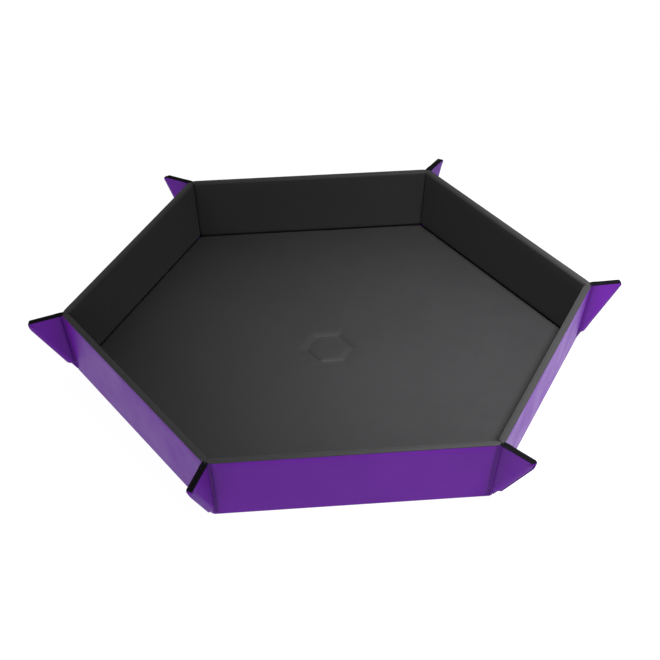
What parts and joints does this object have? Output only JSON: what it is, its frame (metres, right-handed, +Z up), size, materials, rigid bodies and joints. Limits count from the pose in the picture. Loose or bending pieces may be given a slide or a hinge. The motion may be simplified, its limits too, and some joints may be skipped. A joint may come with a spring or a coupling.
{
  "type": "folding dice tray",
  "caption": "Hexagonal folding dice tray, standing open: smooth outer cover, soft inner lining, walls that lean outwards, and corners pinched into magnetic ears.",
  "frame": {"origin": "on the table at the middle of the underside, with the walls standing", "axes": "+Z is up, +X runs out through one corner of the hexagon, and the front wall faces -Y"},
  "size_m": [0.2542, 0.2219, 0.0308],
  "materials": {
    "cover": "smooth purple imitation leather with a soft satin sheen",
    "lining": "smooth charcoal microfibre with a short nap",
    "board": "plain grey stiffener board",
    "magnet": "nickel-plated disc"
  },
  "bodies": {
    "base": {"base_board": "board", "base_cover": "cover", "base_lining": "lining"},
    "front_wall": {"front_wall_board": "board", "front_wall_cover": "cover", "front_wall_lining": "lining"},
    "front_right_wall": {"front_right_wall_board": "board", "front_right_wall_cover": "cover", "front_right_wall_lining": "lining"},
    "back_right_wall": {"back_right_wall_board": "board", "back_right_wall_cover": "cover", "back_right_wall_lining": "lining"},
    "back_wall": {"back_wall_board": "board", "back_wall_cover": "cover", "back_wall_lining": "lining"},
    "back_left_wall": {"back_left_wall_board": "board", "back_left_wall_cover": "cover", "back_left_wall_lining": "lining"},
    "front_left_wall": {"front_left_wall_board": "board", "front_left_wall_cover": "cover", "front_left_wall_lining": "lining"},
    "front_clockwise_flap": {"front_clockwise_flap_cover": "cover", "front_clockwise_flap_lined_board": "lining", "front_clockwise_flap_magnet": "magnet"},
    "front_counterclockwise_flap": {"front_counterclockwise_flap_cover": "cover", "front_counterclockwise_flap_lined_board": "lining", "front_counterclockwise_flap_magnet": "magnet"},
    "front_right_clockwise_flap": {"front_right_clockwise_flap_cover": "cover", "front_right_clockwise_flap_lined_board": "lining", "front_right_clockwise_flap_magnet": "magnet"},
    "front_right_counterclockwise_flap": {"front_right_counterclockwise_flap_cover": "cover", "front_right_counterclockwise_flap_lined_board": "lining", "front_right_counterclockwise_flap_magnet": "magnet"},
    "back_right_clockwise_flap": {"back_right_clockwise_flap_cover": "cover", "back_right_clockwise_flap_lined_board": "lining", "back_right_clockwise_flap_magnet": "magnet"},
    "back_right_counterclockwise_flap": {"back_right_counterclockwise_flap_cover": "cover", "back_right_counterclockwise_flap_lined_board": "lining", "back_right_counterclockwise_flap_magnet": "magnet"},
    "back_clockwise_flap": {"back_clockwise_flap_cover": "cover", "back_clockwise_flap_lined_board": "lining", "back_clockwise_flap_magnet": "magnet"},
    "back_counterclockwise_flap": {"back_counterclockwise_flap_cover": "cover", "back_counterclockwise_flap_lined_board": "lining", "back_counterclockwise_flap_magnet": "magnet"},
    "back_left_clockwise_flap": {"back_left_clockwise_flap_cover": "cover", "back_left_clockwise_flap_lined_board": "lining", "back_left_clockwise_flap_magnet": "magnet"},
    "back_left_counterclockwise_flap": {"back_left_counterclockwise_flap_cover": "cover", "back_left_counterclockwise_flap_lined_board": "lining", "back_left_counterclockwise_flap_magnet": "magnet"},
    "front_left_clockwise_flap": {"front_left_clockwise_flap_cover": "cover", "front_left_clockwise_flap_lined_board": "lining", "front_left_clockwise_flap_magnet": "magnet"},
    "front_left_counterclockwise_flap": {"front_left_counterclockwise_flap_cover": "cover", "front_left_counterclockwise_flap_lined_board": "lining", "front_left_counterclockwise_flap_magnet": "magnet"}
  },
  "joints": [
    {"name": "front_wall_fold", "type": "hinge", "parent": "base", "child": "front_wall", "pos_m": [0, -0.0944, 0.0008], "axis": [1, 0, 0], "range_deg": [0, 83]},
    {"name": "front_right_wall_fold", "type": "hinge", "parent": "base", "child": "front_right_wall", "pos_m": [0.08175, -0.0472, 0.0008], "axis": [0.5, 0.866, 0], "range_deg": [0, 83]},
    {"name": "back_right_wall_fold", "type": "hinge", "parent": "base", "child": "back_right_wall", "pos_m": [0.08175, 0.0472, 0.0008], "axis": [-0.5, 0.866, 0], "range_deg": [0, 83]},
    {"name": "back_wall_fold", "type": "hinge", "parent": "base", "child": "back_wall", "pos_m": [0, 0.0944, 0.0008], "axis": [-1, 0, 0], "range_deg": [0, 83]},
    {"name": "back_left_wall_fold", "type": "hinge", "parent": "base", "child": "back_left_wall", "pos_m": [-0.08175, 0.0472, 0.0008], "axis": [-0.5, -0.866, 0], "range_deg": [0, 83]},
    {"name": "front_left_wall_fold", "type": "hinge", "parent": "base", "child": "front_left_wall", "pos_m": [-0.08175, -0.0472, 0.0008], "axis": [0.5, -0.866, 0], "range_deg": [0, 83]},
    {"name": "front_clockwise_flap_fold", "type": "hinge", "parent": "front_wall", "child": "front_clockwise_flap", "pos_m": [-0.05346, -0.0944, 0.0008], "axis": [0.0702, 0.1216, -0.9901], "range_deg": [0, 64.27]},
    {"name": "front_counterclockwise_flap_fold", "type": "hinge", "parent": "front_wall", "child": "front_counterclockwise_flap", "pos_m": [0.05346, -0.0944, 0.0008], "axis": [0.0702, -0.1216, 0.9901], "range_deg": [0, 44.26]},
    {"name": "front_right_clockwise_flap_fold", "type": "hinge", "parent": "front_right_wall", "child": "front_right_clockwise_flap", "pos_m": [0.05502, -0.0935, 0.0008], "axis": [-0.0702, 0.1216, -0.9901], "range_deg": [0, 76.26]},
    {"name": "front_right_counterclockwise_flap_fold", "type": "hinge", "parent": "front_right_wall", "child": "front_right_counterclockwise_flap", "pos_m": [0.10848, -0.0009, 0.0008], "axis": [0.1404, 0, 0.9901], "range_deg": [0, 49.26]},
    {"name": "back_right_clockwise_flap_fold", "type": "hinge", "parent": "back_right_wall", "child": "back_right_clockwise_flap", "pos_m": [0.10848, 0.0009, 0.0008], "axis": [-0.1404, 0, -0.9901], "range_deg": [0, 71.26]},
    {"name": "back_right_counterclockwise_flap_fold", "type": "hinge", "parent": "back_right_wall", "child": "back_right_counterclockwise_flap", "pos_m": [0.05502, 0.0935, 0.0008], "axis": [0.0702, 0.1216, 0.9901], "range_deg": [0, 64.27]},
    {"name": "back_clockwise_flap_fold", "type": "hinge", "parent": "back_wall", "child": "back_clockwise_flap", "pos_m": [0.05346, 0.0944, 0.0008], "axis": [-0.0702, -0.1216, -0.9901], "range_deg": [0, 56.26]},
    {"name": "back_counterclockwise_flap_fold", "type": "hinge", "parent": "back_wall", "child": "back_counterclockwise_flap", "pos_m": [-0.05346, 0.0944, 0.0008], "axis": [-0.0702, 0.1216, 0.9901], "range_deg": [0, 38.26]},
    {"name": "back_left_clockwise_flap_fold", "type": "hinge", "parent": "back_left_wall", "child": "back_left_clockwise_flap", "pos_m": [-0.05502, 0.0935, 0.0008], "axis": [0.0702, -0.1216, -0.9901], "range_deg": [0, 82.26]},
    {"name": "back_left_counterclockwise_flap_fold", "type": "hinge", "parent": "back_left_wall", "child": "back_left_counterclockwise_flap", "pos_m": [-0.10848, 0.0009, 0.0008], "axis": [-0.1404, 0, 0.9901], "range_deg": [0, 49.26]},
    {"name": "front_left_clockwise_flap_fold", "type": "hinge", "parent": "front_left_wall", "child": "front_left_clockwise_flap", "pos_m": [-0.10848, -0.0009, 0.0008], "axis": [0.1404, 0, -0.9901], "range_deg": [0, 71.26]},
    {"name": "front_left_counterclockwise_flap_fold", "type": "hinge", "parent": "front_left_wall", "child": "front_left_counterclockwise_flap", "pos_m": [-0.05502, -0.0935, 0.0008], "axis": [-0.0702, -0.1216, 0.9901], "range_deg": [0, 56.26]}
  ],
  "couplings": [
    {"joint": "front_right_wall_fold", "follows": "front_wall_fold", "ratio": 1},
    {"joint": "back_right_wall_fold", "follows": "front_wall_fold", "ratio": 1},
    {"joint": "back_wall_fold", "follows": "front_wall_fold", "ratio": 1},
    {"joint": "back_left_wall_fold", "follows": "front_wall_fold", "ratio": 1},
    {"joint": "front_left_wall_fold", "follows": "front_wall_fold", "ratio": 1},
    {"joint": "front_clockwise_flap_fold", "follows": "front_wall_fold", "ratio": 0.7741},
    {"joint": "front_counterclockwise_flap_fold", "follows": "front_wall_fold", "ratio": 0.5331},
    {"joint": "front_right_clockwise_flap_fold", "follows": "front_wall_fold", "ratio": 0.9186},
    {"joint": "front_right_counterclockwise_flap_fold", "follows": "front_wall_fold", "ratio": 0.5933},
    {"joint": "back_right_clockwise_flap_fold", "follows": "front_wall_fold", "ratio": 0.8584},
    {"joint": "back_right_counterclockwise_flap_fold", "follows": "front_wall_fold", "ratio": 0.7741},
    {"joint": "back_clockwise_flap_fold", "follows": "front_wall_fold", "ratio": 0.6777},
    {"joint": "back_counterclockwise_flap_fold", "follows": "front_wall_fold", "ratio": 0.4608},
    {"joint": "back_left_clockwise_flap_fold", "follows": "front_wall_fold", "ratio": 0.9909},
    {"joint": "back_left_counterclockwise_flap_fold", "follows": "front_wall_fold", "ratio": 0.5933},
    {"joint": "front_left_clockwise_flap_fold", "follows": "front_wall_fold", "ratio": 0.8584},
    {"joint": "front_left_counterclockwise_flap_fold", "follows": "front_wall_fold", "ratio": 0.6777}
  ]
}
